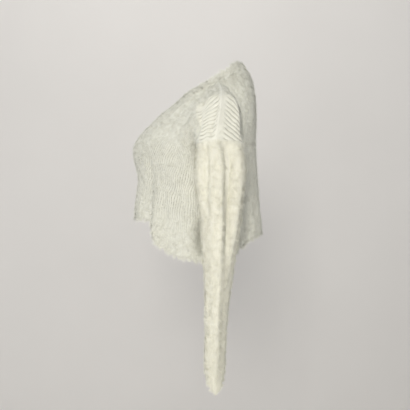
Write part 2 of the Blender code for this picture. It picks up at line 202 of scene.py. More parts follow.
# Folds of a panel, each a line through points (across, row) of its flat layout. across is -1 and 1
# at the side seams, + on the wearer's left. row is 0 at the hem, 1 at the underarm and 2 at the
# top. The first two numbers are its depth and width in mm, and a depth below 0 is a trough.
FRONT_FOLDS = (
    (7.0, 36, (0.37, -0.6), (0.30, 0.95)),
    (-13.0, 19, (0.47, -0.6), (0.44, 0.55)),
    (12.5, 17, (0.57, -0.6), (0.54, 0.62)),
    (-5.0, 22, (0.84, -0.6), (0.42, 1.05)),
    (7.0, 40, (0.82, -0.5), (0.74, 0.85)),
    (-5.5, 11, (0.80, 0.43), (0.58, 0.68)),
    (6.5, 11, (0.78, 0.78), (0.77, 1.72)),
    (-1.5, 14, (0.79, 1.12), (0.66, 1.62)),
    (-6.5, 13, (1.05, 1.50), (0.52, 1.80)),
    (7.0, 38, (-0.34, -0.6), (-0.27, 0.90)),
    (-11.0, 22, (-0.50, -0.6), (-0.45, 0.70)),
    (7.0, 20, (-0.64, -0.6), (-0.58, 0.65)),
    (-8.0, 17, (-0.88, -0.6), (-0.50, 1.05)),
    (6.0, 12, (-0.80, 0.76), (-0.77, 1.70)),
    (-5.0, 12, (-0.78, 1.10), (-0.67, 1.60)),
    (-6.0, 14, (-1.05, 1.50), (-0.55, 1.78)),
)
BACK_FOLDS = (
    (-4.0, 34, (0.08, -0.6), (0.03, 1.30)),
    (6.0, 36, (0.36, -0.6), (0.30, 1.20)),
    (-6.0, 24, (0.62, -0.6), (0.58, 1.10)),
    (5.0, 34, (-0.30, -0.6), (-0.26, 1.25)),
    (-7.0, 24, (-0.54, -0.6), (-0.50, 1.00)),
    (4.5, 13, (-0.58, 0.90), (-0.55, 1.70)),
    (-5.0, 14, (-1.05, 1.50), (-0.62, 1.72)),
)

# Creases that the CAD leaves out, most of them too fine for it, in the same terms.
FRONT_CREASES = (
    (-4.5, 8, (0.49, -0.2), (0.475, 0.30), (0.46, 0.62), (0.47, 0.95)),
    (2.0, 14, (0.62, 0.90), (0.70, 0.66), (0.80, 0.58)),
    (3.6, 7, (0.78, 0.84), (0.83, 1.03), (0.86, 1.20), (0.83, 1.38), (0.76, 1.56)),
    (-3.0, 8, (0.66, 1.86), (0.69, 1.74), (0.73, 1.64), (0.81, 1.57), (0.92, 1.56), (1.04, 1.62)),
    (-5.0, 7, (0.76, 1.95), (0.86, 1.92), (0.92, 1.89), (0.98, 1.90), (1.08, 1.90)),
    (1.2, 9, (0.82, 1.72), (0.90, 1.70), (1.00, 1.70)),
    (-0.8, 11, (0.56, 0.88), (0.54, 1.16), (0.48, 1.40)),
    (-1.0, 9, (0.74, 0.02), (0.72, 0.30)),
    (-11.0, 9, (0.89, 0.50), (0.89, 0.78), (0.91, 1.02), (0.93, 1.22), (0.91, 1.42)),
    (-6.0, 12, (0.85, -0.14), (0.86, 0.22), (0.87, 0.42)),
    (-8.0, 11, (0.905, -0.14), (0.905, 0.20), (0.90, 0.44)),
    (-20.0, 9, (0.90, 0.04), (0.90, 0.20), (0.90, 0.36)),
    (1.6, 12, (0.56, -0.1), (0.55, 0.20), (0.57, 0.40)),
    (-1.8, 9, (0.60, -0.1), (0.58, 0.12), (0.55, 0.34), (0.52, 0.50)),
    (-1.2, 9, (0.22, 0.00), (0.20, 0.50), (0.24, 0.95)),
    (1.0, 12, (0.10, 0.05), (0.08, 0.70)),
    (-1.0, 10, (-0.12, 0.00), (-0.10, 0.60), (-0.14, 1.10)),
    (1.0, 11, (-0.22, 0.10), (-0.20, 0.80)),
    (-3.6, 9, (-0.52, -0.2), (-0.49, 0.34), (-0.47, 0.70), (-0.49, 1.00)),
    (-1.8, 18, (-0.68, 0.16), (-0.62, 0.46), (-0.53, 0.72)),
    (2.6, 8, (-0.79, 0.86), (-0.81, 1.18), (-0.79, 1.44), (-0.71, 1.62)),
    (-1.6, 7, (-0.76, 1.06), (-0.73, 1.28), (-0.66, 1.48)),
    (-4.0, 8, (-0.62, 1.76), (-0.73, 1.68), (-0.82, 1.56), (-0.93, 1.50)),
    (-2.4, 8, (-0.82, 1.88), (-0.90, 1.89), (-1.00, 1.91)),
    (1.6, 13, (-0.58, 0.00), (-0.56, 0.30)),
    (-1.6, 8, (0.77, 1.84), (0.86, 1.85), (0.94, 1.86), (1.0, 1.86)),
)
BACK_CREASES = (
    (0.8, 9, (0.56, 1.07), (0.53, 1.43)),
    (2.5, 9, (0.62, 1.20), (0.66, 1.50), (0.70, 1.74)),
    (9.0, 17, (0.91, 1.60), (0.86, 1.74), (0.81, 1.79), (0.775, 1.84), (0.75, 1.90), (0.72, 1.99)),
    (2.4, 15, (0.58, 1.16), (0.60, 1.45), (0.64, 1.72), (0.70, 1.90)),
    (-1.5, 7, (0.66, 1.00), (0.63, 1.30), (0.56, 1.58)),
    (-1.2, 10, (0.44, 0.05), (0.42, 0.60)),
    (1.2, 10, (0.72, 0.05), (0.68, 0.60), (0.62, 0.90)),
    (-1.6, 7, (0.90, 0.80), (0.80, 0.62), (0.68, 0.52)),
    (-1.3, 8, (-0.64, 0.98), (-0.60, 1.30), (-0.54, 1.55)),
    (1.3, 8, (-0.74, 0.10), (-0.70, 0.70)),
    (-1.2, 10, (-0.40, 0.00), (-0.38, 0.70)),
    (-1.5, 7, (-0.88, 0.86), (-0.78, 0.66), (-0.66, 0.56)),
    (-3.4, 9, (-0.62, 1.78), (-0.74, 1.70), (-0.84, 1.57), (-0.94, 1.49)),
    (1.8, 9, (-0.68, 1.62), (-0.76, 1.48), (-0.82, 1.30)),
)

# Sections of the left sleeve, in mm.
SLEEVE = table(
    "level x y half_x half_y",
    (-665, 210, -9.2, 21, 15),
    (-648, 210, -9.2, 23, 20),
    (-628, 210, -9.2, 25, 23),
    (-589, 211, -8.2, 26, 25),
    (-516, 213, -6.0, 29, 26),
    (-444, 216, -2.5, 32, 30),
    (-392, 219, -0.5, 34, 35),
    (-351, 221, 2.0, 36, 40),
    (-299, 222, 3.3, 38, 44.5),
    (-248, 221, 2.4, 40, 52),
    (-196, 218, 2.8, 41, 57),
    (-160, 215, 4.6, 41, 56.5),
    (-145, 214, 4.8, 40, 54.5),
)
CUFF_LEVEL = -633.0 * MM
CUFF_DROP = 26.0 * MM  # the cuff's outer and inner sides hang this much lower than the rest

# Folds of a sleeve. turn is 0 beside the body, 0.25 in front, 0.5 outside and 0.75 behind.
SLEEVE_FOLDS = table(
    "high_turn high_level low_turn low_level depth width",
    (0.535, -100, 0.560, -380, -9.0, 11),
    (0.600, -230, 0.630, -650, -9.0, 14),
    (0.440, -110, 0.350, -340, -4.0, 10),
    (0.470, -200, 0.500, -700, 3.0, 12),
    (0.020, -150, 0.055, -520, -7.0, 11),
    (0.180, -180, 0.150, -420, -4.0, 10),
    (0.720, -160, 0.690, -460, -4.5, 10),
)
SLEEVE_CREASES = table(
    "high_turn high_level low_turn low_level depth width",
    (0.507, -80, 0.500, -690, 3.8, 6),
    (0.562, -80, 0.576, -400, -9.0, 14),
    (0.546, -80, 0.558, -370, -2.6, 7),
    (0.602, -250, 0.650, -700, 3.2, 13),
    (0.690, -430, 0.700, -730, -1.5, 14),
    (0.428, -100, 0.385, -300, -3.0, 6),
    (0.445, -130, 0.430, -420, 1.6, 9),
    (0.360, -90, 0.330, -300, 2.0, 12),
    (0.330, -330, 0.430, -600, -1.6, 8),
    (0.480, -420, 0.440, -680, -1.2, 6),
    (0.610, -100, 0.635, -520, 3.0, 14),
    (0.760, -120, 0.740, -330, -1.8, 7),
    (0.830, -170, 0.850, -380, -1.8, 8),
    (0.900, -260, 0.880, -560, 1.4, 9),
    (0.100, -200, 0.130, -520, -1.6, 8),
    (0.240, -420, 0.220, -680, -1.4, 8),
    (0.750, -430, 0.780, -690, -1.4, 8),
)


def column(of, name, at, key):
    """A named column of a table of mm, read smoothly at the given stations, in metres."""
    order = np.argsort(of[key])
    return smooth(at, of[key][order], of[name][order]) * MM


def body_section(level, turn):
    """Points of the body's section at a level. turn is 0 at the centre front, pi at the back."""
    mm = level / MM
    half_width = column(BODY, "half_width", mm, "level")
    front = column(BODY, "front", mm, "level")
    back = column(BODY, "back", mm, "level")
    power = 2 / SECTION_ROUNDNESS
    sine, cosine = np.sin(turn), np.cos(turn)
    x = half_width * np.sign(sine) * np.abs(sine) ** power
    y = (front + back) / 2 - (back - front) / 2 * np.sign(cosine) * np.abs(cosine) ** power
    return stack(x, y, level)


def side_turn_table():
    """Turns from centre front to centre back, and the length round the section to each."""
    turns = np.linspace(0, math.pi, 721)
    points = body_section(np.full_like(turns, UNDERARM_LEVEL), turns)
    steps = np.linalg.norm(np.diff(points, axis=0), axis=1)
    lengths = np.concatenate([[0], np.cumsum(steps)])
    behind = (turns > 1.0) & (points[:, 1] > SIDE_SEAM_Y)
    return turns, lengths, lengths[np.argmax(behind)]


TURNS, LENGTHS, SEAM_LENGTH = side_turn_table()
HALF_PANEL = LENGTHS[-1] / 2


def panel_turn(across, front):
    """The turn round the section at a share of the half panel, from its centre to the seam."""
    if front:
        length = across * SEAM_LENGTH
    else:
        length = LENGTHS[-1] - across * (LENGTHS[-1] - SEAM_LENGTH)
    return np.interp(length, LENGTHS, TURNS)


def neck_ring(turn, ring):
    """Points of one of the neckband's rings; ring may lie between two of them."""
    size = {name: np.interp(ring, [0, 1, 2], NECK_RINGS[name]) * MM for name in NECK_RINGS}
    height = size["middle"] - size["tilt"] * np.cos(turn) + size["dip"] * np.cos(2 * turn)
    x = size["half_width"] * np.sin(turn)
    y = size["centre"] - size["half_depth"] * np.cos(turn)
    return stack(x, y, height)


def neck_outward(turn):
    """The level direction away from the neck."""
    return stack(np.sin(turn), -np.cos(turn), np.zeros_like(turn))


def neck_wall_direction(turn):
    """The outward direction across the wall along the neckline seam."""
    around = neck_ring(turn + 0.01, 0) - neck_ring(turn - 0.01, 0)
    up_the_band = neck_ring(turn, 1) - neck_ring(turn, 0)
    steeper = unit(up_the_band) - unit(neck_outward(turn)) * 0.35
    return unit(np.cross(around, steeper))


def shoulder_point(along):
    """Points of the left shoulder seam, 0 at the neck to 1 at the armhole."""
    return stack(*(column(SHOULDER, name, along, "along") for name in "xyz"))


def shoulder_wall_direction(along):
    """Square to the shoulder seam, in its own upright plane."""
    run = shoulder_point(np.minimum(along + 0.02, 1)) - shoulder_point(np.maximum(along - 0.02, 0))
    level_out = 1 - ease((along - 0.75) / 0.25)
    return unit(stack(-run[..., 2], np.zeros_like(along), run[..., 0] * level_out))


def panel_top(across, front):
    """Where a column ends: in the neckline seam, or past it in the shoulder seam."""
    turn = np.clip(across / NECK_SHARE, 0, 1) * NECK_SIDE_TURN
    if not front:
        turn = math.pi - np.clip(across / NECK_SHARE, 0, 1) * (math.pi - NECK_SIDE_TURN)
    along = np.clip((across - NECK_SHARE) / (1 - NECK_SHARE), 0, 1)
    on_neck = (across <= NECK_SHARE)[..., None]
    point = np.where(on_neck, neck_ring(turn, 0), shoulder_point(along))
    wall = np.where(on_neck, neck_wall_direction(turn), shoulder_wall_direction(along))
    return point, wall


def round_the_bend(points, row, reach):
    """Rounds the bend between the body below the underarm level and the yoke above it."""
    share = 0.5 * np.exp(-(((row - 1) / 0.24) ** 2)) * ease((1 - reach) / 0.12)
    for _ in range(BEND_STEPS):
        middle = (points[:-2] + points[2:]) / 2
        points[1:-1] += (middle - points[1:-1]) * share[1:-1, :, None]
    return points


def fold_height(folds, across, row):
    """How far the folds lift a panel at each point of its flat layout."""
    total = np.zeros(np.broadcast(across, row).shape)
    for depth, width, *path in folds:
        stops = np.array(path) * (HALF_PANEL, ROW_LENGTH)
        lengths = np.linalg.norm(np.diff(stops, axis=0), axis=1)
        nearest = np.full(total.shape, 1e9)
        fade = np.zeros(total.shape)
        for k, (low, high) in enumerate(zip(stops, stops[1:])):
            run = high - low
            x, y = across * HALF_PANEL - low[0], row * ROW_LENGTH - low[1]
            share = (x * run[0] + y * run[1]) / (run @ run)
            inner = np.clip(share, 0, 1)
            ends = (share if k == 0 else inner, share if k == len(lengths) - 1 else inner)
            off = np.hypot(x - inner * run[0], y - inner * run[1])
            straight = np.abs(x * run[1] - y * run[0]) / lengths[k]
            off = np.where((share >= 0) & (share <= 1), straight, off)
            along = (lengths[:k].sum() + np.clip(ends[0], 0, 1) * lengths[k]) / lengths.sum()
            closer = off < nearest
            nearest = np.where(closer, off, nearest)
            fade = np.where(closer, np.sin(math.pi * np.clip(along, 0, 1)), fade)
        shape = np.exp(-((nearest / (width * MM)) ** 2))
        total += depth * MM * shape * np.maximum(fade, 0) ** FOLD_FADE
    return total


def plain_panel(across, row, front):
    """The left half of a panel without folds: across 0 to 1, row 0 to 2."""
    hem = column(HEM, "front" if front else "back", across, "across")
    level = hem + (UNDERARM_LEVEL - hem) * np.minimum(row, 1)
    turn = panel_turn(across, front)
    lower = body_section(level, turn)
    rise = FRONT_RISE if front else BACK_RISE
    start = stack(*(column(rise, f"start_{name}", across, "across") for name in "xyz"))
    end = stack(*(column(rise, f"end_{name}", across, "across") for name in "xyz"))
    base = body_section(np.full_like(across, UNDERARM_LEVEL), turn)
    top, _ = panel_top(across, front)
    f = np.clip(row - 1, 0, 1)[..., None]
    upper = (
        (1 + 2 * f) * (1 - f) ** 2 * base
        + f * (1 - f) ** 2 * start
        + f * f * (3 - 2 * f) * top
        + f * f * (f - 1) * end
    )
    return np.where((row > 1)[..., None], upper, lower)


def surface_normals(points, closed=False):
    """Unit normals of a grid of points, from its neighbours."""
    if closed:
        along_rows = np.roll(points, -1, axis=1) - np.roll(points, 1, axis=1)
    else:
        along_rows = np.gradient(points, axis=1)
    return unit(np.cross(along_rows, np.gradient(points, axis=0)))


def panel_surface(across, row, front):
    """A panel with its folds, and its outward directions, on a grid of rows and columns."""
    side = np.where(across < 0, -1.0, 1.0)
    mirror = stack(side, np.ones_like(side), np.ones_like(side))
    reach = np.abs(across)
    facing = 1 if front else -1
    points = round_the_bend(plain_panel(reach, row, front) * mirror, row, reach)
    outward = surface_normals(points) * facing
    calm = ease((1 - reach) / 0.10) * ease((2 - row) / 0.25)
    folds = fold_height(FRONT_FOLDS if front else BACK_FOLDS, across, row) * calm
    fine = fold_height(FRONT_CREASES if front else BACK_CREASES, across, row)
    fine *= ease((2 - row) / 0.08) * ease((1 - reach) / 0.05)
    points = points + outward * (folds + fine)[..., None]
    outward = surface_normals(points) * facing
    _, at_top = panel_top(reach, front)
    outward[..., 2] *= np.where(reach > 0.999, 1 - ease((row - 1) / 0.5), 1)
    near_top = ease((row - 1.94) / 0.06)[..., None]
    outward = unit(unit(outward) * (1 - near_top) + at_top * mirror * near_top)
    return points, outward


# ---------------- ribs and unevenness


def waviness(u, v, seed, waves=14, shortest=0.012, longest=0.06):
    """Soft unevenness, mostly from -1 to 1, over lengths u and v in metres."""
    random = np.random.default_rng(seed)
    total = np.zeros(np.broadcast(u, v).shape)
    for _ in range(waves):
        pitch = shortest * (longest / shortest) ** random.random()
        angle, phase = random.random(2) * 2 * math.pi
        total += np.sin((u * math.cos(angle) + v * math.sin(angle)) * 2 * math.pi / pitch + phase)
    return total / math.sqrt(waves * 2)


def panel_rib(across, row, front):
    """The rib number, counted from the centre, at each point of a panel.

    Ribs lean towards the sleeve as they rise, and drop steeply from the shoulder seam.
    """
    reach = np.abs(across)
    stations, drops = CAP_DROP_FRONT if front else CAP_DROP_BACK
    under_seam = 2 - row
    fade = np.exp(-((under_seam / RIB_DROP_ROWS) ** 2))
    drop = np.interp(reach, stations, drops) * under_seam * fade
    lean = RIB_LEAN * ease((row - 0.45) / 0.8) * ease(reach / 0.4) * ease((1.02 - reach) / 0.25)
    moved = reach - drop - lean
    ribs = RIBS_TO_NECK + RIBS_TO_SHOULDER
    at_top = np.where(
        moved < NECK_SHARE,
        RIBS_TO_NECK * moved / NECK_SHARE,
        RIBS_TO_NECK + RIBS_TO_SHOULDER * (moved - NECK_SHARE) / (1 - NECK_SHARE),
    )
    high = ease((row - 0.6) / 1.4)
    return (ribs * moved * (1 - high) + at_top * high) * np.where(across < 0, -1, 1)


# The cap's lower edge, as rows at shares of a half panel's width.
CAP_EDGE_FRONT = (
    (0.60, 0.66, 0.72, 0.80, 0.88, 0.95, 1.0),
    (1.70, 1.64, 1.58, 1.55, 1.55, 1.58, 1.63),
)
CAP_EDGE_BACK = ((0.74, 0.80, 0.90, 1.0), (1.72, 1.62, 1.54, 1.46))

# The cap's side next to the neck, as shares of the width at rows, and the row where pleats end.
CAP_SIDE_FRONT = ((1.5, 1.6, 1.7, 1.8, 1.9, 2.0), (0.60, 0.63, 0.65, 0.68, 0.72, 0.77))
CAP_SIDE_BACK = ((1.5, 2.0), (0.78, 0.745))
PLEAT_END_FRONT = 1.98
PLEAT_END_BACK = 1.965

# How much the ribs of the cap drop from the shoulder seam, at shares of a half panel's width.
CAP_DROP_FRONT = ((0.6, 0.79, 0.85, 0.92, 0.97, 1.0), (0.10, 0.19, 0.16, 0.11, 0.07, 0.05))
CAP_DROP_BACK = ((0.6, 0.80, 0.90, 1.0), (0.14, 0.36, 0.40, 0.40))


def rib_strength(across, row, front):
    """How much the ribs and the cap's pleats stand out, and where the cap is."""
    reach = np.abs(across)
    edge = np.interp(reach, *(CAP_EDGE_FRONT if front else CAP_EDGE_BACK))
    side = np.interp(row, *(CAP_SIDE_FRONT if front else CAP_SIDE_BACK))
    cap = ease((row - edge) / 0.06) * ease((reach - side) / 0.05)
    hem = HEM_RIBS + (1 - HEM_RIBS) * ease((row - 0.15) / 0.35)
    chest = 1 - CHEST_CALM * ease((row - 0.98) / 0.30) * ease((0.80 - reach) / 0.1)
    neck = 1 - NECK_CALM * ease((row - 1.50) / 0.25)
    ribs = hem * chest * neck * (1 - cap)
    pleats = cap * ease(((PLEAT_END_FRONT if front else PLEAT_END_BACK) - row) / 0.05)
    if front:  # flatter along the crease below the shoulder seam
        pleats *= 1 - 0.5 * np.exp(-(((row - 1.85) / 0.05) ** 2)) * ease((reach - 0.78) / 0.06)
    return (ribs if front else ribs * BACK_RIBS), pleats, cap


def rib_relief(number, fullness=0.8):
    """From -1 in a groove to 1 along a round-topped ridge."""
    return 2 * np.abs(np.cos(math.pi * number)) ** fullness - 1


def panel_grid():
    """Stations across a panel, half of them over the neck's share, and along its rows."""
    even = np.linspace(0, 1, PANEL_COLUMNS // 2 + 1)
    reach = np.interp(even, (0, 0.5, 1), (0, NECK_SHARE, 1))
    across = np.concatenate([-reach[::-1], reach[1:]])
    below, above = PANEL_ROWS
    row = np.concatenate([np.linspace(0, 1, below + 1), 1 + np.linspace(0, 1, above + 1)[1:]])
    return np.meshgrid(across, row)


def panel_shell(front):
    """A panel's outer points, outward directions, knit coordinates and pile's thickness."""
    across, row = panel_grid()
    points, outward = panel_surface(across, row, front)
    u, v, seed = across * HALF_PANEL, row * ROW_LENGTH, 5 if front else 6
    uneven = waviness(u, v, seed)
    patchy = 1 + 0.5 * waviness(u, v, seed + 10, waves=9, shortest=0.04)
    wander = RIB_WANDER * waviness(u, v, seed + 20, waves=9, shortest=0.03)
    number = panel_rib(across, row, front) + wander
    ribs, pleats, cap = rib_strength(across, row, front)
    ribs, pleats = ribs * np.clip(patchy, 0, 1.6), pleats * (0.6 + 0.4 * patchy)
    on_seam = ease((1 - np.abs(across)) / 0.01) * ease((2 - row) / 0.02)
    relief = rib_relief(number) * RIB_HEIGHT * ribs
    relief += rib_relief(number / RIBS_TO_PLEAT, 1.5) * PLEAT_HEIGHT * pleats
    lift = (relief / 2 + uneven * UNEVEN["panel"] * MM) * on_seam - PILE_DEPTH
    forward = -1.0 if front else 1.0
    at_seam = ((row > 1.999) & (np.abs(across) > NECK_SHARE)) | (
        (np.abs(across) > 0.999) & (row <= 1)
    )
    clearance = stack(0.0, forward * SEAM_GAP * 0.6 * at_seam, 0.0)
    # The relief map's two numbers set how much painted shade darkens the rib grooves, and where the
    # cap gets its painted lighter tone and pleat-groove shade.
    in_cap = cap * 0.5 + np.minimum(pleats, cap) * 0.4  # as the material tells the cap's painted light and its pleats' painted shade apart
    knit = np.stack([number, v, ribs * 0.75, in_cap], axis=-1)
    thick = 1 + END_PILE * ease((0.35 - row) / 0.3) + END_PILE * ease((row - 1.6) / 0.3)
    density = thick * (1 - CAP_BARE * cap)
    return points + clearance + outward * lift[..., None], outward, knit, density


def armhole(turn, rims):
    """The armhole seam round the left arm: turn 0 and 1 underarm, 0.5 at the shoulder seam.

    rims are the front's and the back's outer points along it, from the underarm upwards.
    """
    loop = np.concatenate([rims[0], rims[1][::-1][1:]])
    stations = np.linspace(0, 1, len(loop))
    return stack(*(np.interp(turn, stations, loop[:, k]) for k in range(3)))


def sleeve_fold_height(folds, turn, level, half_y):
    """How far the folds lift the sleeve at each turn and level."""
    total = np.zeros_like(level)
    for i in range(len(folds["depth"])):
        high, low = folds["high_level"][i], folds["low_level"][i]
        share = (level / MM - high) / (low - high)
        path = folds["high_turn"][i] + share * (folds["low_turn"][i] - folds["high_turn"][i])
        off = (turn - path + 0.5) % 1 - 0.5
        off = off * 2 * math.pi * half_y / (folds["width"][i] * MM)
        fade = np.where((share > 0) & (share < 1), np.sin(math.pi * np.clip(share, 0, 1)), 0)
        total += folds["depth"][i] * MM * np.exp(-off * off) * fade**0.5
    return total


def sleeve_surface(turn, length, rims):
    """The left sleeve with its folds: turn round it, length 0 at the armhole to 1 at the cuff."""
    ring = armhole(turn, rims)
    angle = 2 * math.pi * turn
    cuff = CUFF_LEVEL - CUFF_DROP * np.cos(angle) ** 2
    level = ring[..., 2] + (cuff - ring[..., 2]) * length
    names = "x y half_x half_y".split()
    x, y, half_x, half_y = (column(SLEEVE, name, level / MM, "level") for name in names)
    half_x, half_y = half_x - PILE_DEPTH, half_y - PILE_DEPTH
    own = stack(x - half_x * np.cos(angle), y - half_y * np.sin(angle), level)
    under = ring[..., 2] - level
    blend = ease(under / ARMHOLE_BLEND)[..., None]
    flare = ARMHOLE_FLARE * np.maximum(-np.cos(angle), 0)
    points = ring + (own - ring) * blend + (1 - blend) * stack(flare * under, 0.0, -under)
    outward = -surface_normals(points, closed=True)
    fold = sleeve_fold_height(SLEEVE_FOLDS, turn, level, half_y) * ease(under / (40 * MM))
    fold += sleeve_fold_height(SLEEVE_CREASES, turn, level, half_y) * ease(under / (14 * MM))
    return points + outward * fold[..., None]


def sleeve_shell(rims):
    """The left sleeve's outer points, outward directions, knit coordinates and pile's thickness."""
    turn = np.arange(SLEEVE_COLUMNS) / SLEEVE_COLUMNS
    closer_at_top = np.linspace(0, 1, SLEEVE_ROWS + 1) ** 1.1
    turn, length = np.meshgrid(turn, closer_at_top)
    points = sleeve_surface(turn, length, rims)
    outward = -surface_normals(points, closed=True)
    outward[0, :, 2] = 0
    outward = unit(outward)
    beside_body = np.exp(-(((turn + 0.5) % 1 - 0.5) / 0.16) ** 2)
    clear = UNDERARM_CLEARANCE * beside_body * ease(1 - length / 0.1)
    points = points + stack(clear, 0.0, 0.0)
    points[0, :, 2] -= SEAM_GAP
    number = turn * RIBS_ROUND_SLEEVE
    u, v = turn * SLEEVE_CLOTH[0], length * SLEEVE_CLOTH[1]
    strong = np.clip(SLEEVE_RIBS + SLEEVE_RIBS * waviness(u, v, 8), 0, 1)
    lift = rib_relief(number) * RIB_HEIGHT / 2 * strong + waviness(u, v, 9) * UNEVEN["sleeve"] * MM
    lift *= ease(length / 0.02)
    # strong * 0.5 sets how much painted shade darkens the sleeve's rib grooves.
    knit = np.stack([number, length * 0.5, strong * 0.5, 0 * v], axis=-1)
    return points + outward * lift[..., None], outward, knit, np.ones_like(turn)


def band_shell():
    """The neckband's grids likewise, from its seam over a rounded top edge."""
    turn, share = np.meshgrid(
        np.arange(BAND_COLUMNS) * 2 * math.pi / BAND_COLUMNS, np.linspace(0, 2, BAND_ROWS + 1)
    )
    points = neck_ring(turn, share)
    outward = surface_normals(points, closed=True)
    at_seam = ease(1 - share / 0.25)[..., None]
    outward = unit(outward * (1 - at_seam) + neck_wall_direction(turn) * at_seam)
    fullness = np.sin(math.pi * share / 2) * MM
    uneven = waviness(turn * 0.08, share * 0.01, 10) * UNEVEN["band"] * MM * ease(share / 0.2)
    points = points + outward * (fullness + uneven - PILE_DEPTH)[..., None]
    # 0.08 is a faint painted shade in the band's rib grooves.
    knit = np.stack([turn * 9, share * 0.01, 0.08 + 0 * turn, 0 * turn], axis=-1)
    return points, outward, knit, np.ones_like(turn)


# ---------------- building meshes


def quads(grid):
    """Rings of four corners for each cell of a grid of point numbers."""
    corners = (grid[:-1, :-1], grid[:-1, 1:], grid[1:, 1:], grid[1:, :-1])
    return np.stack([corner.ravel() for corner in corners], axis=1)


def zip_edge(fine, plain):
    """Triangles between a fine row of point numbers and a plain one with fewer."""
    faces = []
    ratio = (len(fine) - 1) // (len(plain) - 1)
    half = (ratio + 1) // 2
    for i in range(len(plain) - 1):
        part = fine[i * ratio : (i + 1) * ratio + 1]
        faces += [(plain[i], part[k], part[k + 1]) for k in range(half)]
        faces.append((plain[i], part[half], plain[i + 1]))
        faces += [(plain[i + 1], part[k], part[k + 1]) for k in range(half, ratio)]
    return faces


def mesh_of(name, points, faces, flip=False, rim_angle=None):
    """A smooth mesh from points and arrays of faces, each array with its own corner count."""
    mesh = bpy.data.meshes.new(name)
    faces = [np.asarray(some)[:, ::-1] if flip else np.asarray(some) for some in faces]
    corners = np.concatenate([some.ravel() for some in faces])
    counts = np.concatenate([np.full(len(some), some.shape[1]) for some in faces])
    mesh.vertices.add(len(points))
    mesh.vertices.foreach_set("co", np.ascontiguousarray(points, np.float32).ravel())
    mesh.loops.add(len(corners))
    mesh.loops.foreach_set("vertex_index", corners.astype(np.int32))
    mesh.polygons.add(len(counts))
    starts = np.concatenate([[0], np.cumsum(counts)[:-1]])
    mesh.polygons.foreach_set("loop_start", starts.astype(np.int32))
    mesh.update(calc_edges=True)
    mesh.validate()
    mesh.shade_smooth()
    if rim_angle:
        mesh.set_sharp_from_angle(angle=rim_angle)
    return mesh


def shell_mesh(name, outer, outward, knit, closed, mirror=False):
    """A closed thin shell: a fine outer grid and a plain inner one. knit goes into two UV maps."""
    rows, columns = outer.shape[:2]
    inner = (outer - outward * SHELL)[:, ::PLAIN_EVERY]
    plain_columns = inner.shape[1]
    first = np.arange(rows * columns).reshape(rows, columns)
    second = rows * columns + np.arange(rows * plain_columns).reshape(rows, plain_columns)
    if closed:
        first = np.hstack([first, first[:, :1]])
        second = np.hstack([second, second[:, :1]])
    threes = [face[::-1] for face in zip_edge(first[0], second[0])]
    threes += zip_edge(first[-1], second[-1])
    four = [quads(first), quads(second)[:, ::-1]]
    if not closed:
        for edge in (0, -1):
            a, b = first[:, edge], second[:, edge]
            side = np.stack([a[:-1], a[1:], b[1:], b[:-1]], axis=1)
            four.append(side if edge == 0 else side[:, ::-1])
    points = np.concatenate([outer.reshape(-1, 3), inner.reshape(-1, 3)])
    if mirror:
        points = points * (-1, 1, 1)
    faces = [np.concatenate(four), np.array(threes)]
    mesh = mesh_of(name, points, faces, flip=mirror, rim_angle=math.radians(65))
    knit = np.concatenate([knit.reshape(-1, 4), knit[:, ::PLAIN_EVERY].reshape(-1, 4)])
    add_uv(mesh, "knit", knit[:, :2])
    add_uv(mesh, "relief", knit[:, 2:])
    return mesh


def add_uv(mesh, name, of_points):
    """A UV map from a pair of numbers for each point."""
    corners = np.empty(len(mesh.loops), np.int32)
    mesh.loops.foreach_get("vertex_index", corners)
    layer = mesh.uv_layers.new(name=name)
    layer.uv.foreach_set("vector", of_points[corners].astype(np.float32).ravel())


def hair_mesh(name, roots, aim, sag, out, length, width, twist, shades, mirror=False):
    """Tapered two-part strands: from roots along aim, bending by sag, turned a little by twist.

    shades, one for each strand, and the place along it go into a UV map.
    """
    across = unit(np.cross(aim, out))
    across = unit(across * np.cos(twist)[:, None] + np.cross(aim, across) * np.sin(twist)[:, None])
    middle = roots + aim * length[:, None] * 0.5 + sag * length[:, None] * 0.22
    tip = roots + aim * length[:, None] * 0.92 + sag * length[:, None] * 0.62
    half = across * width[:, None] / 2
    corners = [roots - half, roots + half, middle - half * 0.8, middle + half * 0.8, tip]
    points = np.stack(corners, axis=1).reshape(-1, 3)
    if mirror:
        points = points * (-1, 1, 1)
    base = np.arange(len(roots))[:, None] * 5
    mesh = mesh_of(name, points, [base + (0, 1, 3, 2), base + (2, 3, 4)], flip=mirror)
    along = np.tile([0.0, 0.0, 0.5, 0.5, 1.0], len(roots))
    own = np.cross(across, aim)
    normals = unit(out * 0.65 + own * 0.45)
    normals = np.repeat(normals, 5, axis=0) * ((-1, 1, 1) if mirror else (1, 1, 1))
    mesh.normals_split_custom_set_from_vertices(normals)
    add_uv(mesh, "strand", np.stack([np.repeat(shades, 5), along], axis=1))
    return mesh


def blend_cell(grid, i, j, f, g):
    """A grid's value inside its cell i, j, at the shares f and g of its sides."""
    low = grid[i, j] * (1 - g) + grid[i, j + 1] * g
    high = grid[i + 1, j] * (1 - g) + grid[i + 1, j + 1] * g
    return low * (1 - f) + high * f


def spread(points, outward, density, closed, count, random):
    """Places strewn over a grid, with the outward direction and that of the rows at each."""
    if closed:
        points = np.concatenate([points, points[:, :1]], axis=1)
        outward = np.concatenate([outward, outward[:, :1]], axis=1)
    side_a = np.linalg.norm(np.diff(points, axis=1), axis=2)[:-1]
    side_b = np.linalg.norm(np.diff(points, axis=0), axis=2)[:, :-1]
    weights = np.cumsum((side_a * side_b * density[: len(side_a), : side_a.shape[1]]).ravel())
    cell = np.searchsorted(weights, random.random(count) * weights[-1])
    i, j = np.divmod(np.minimum(cell, side_a.size - 1), side_a.shape[1])
    f, g = random.random((2, count, 1))
    place = blend_cell(points, i, j, f, g)
    return place, unit(blend_cell(outward, i, j, f, g)), unit(points[i + 1, j] - points[i, j])


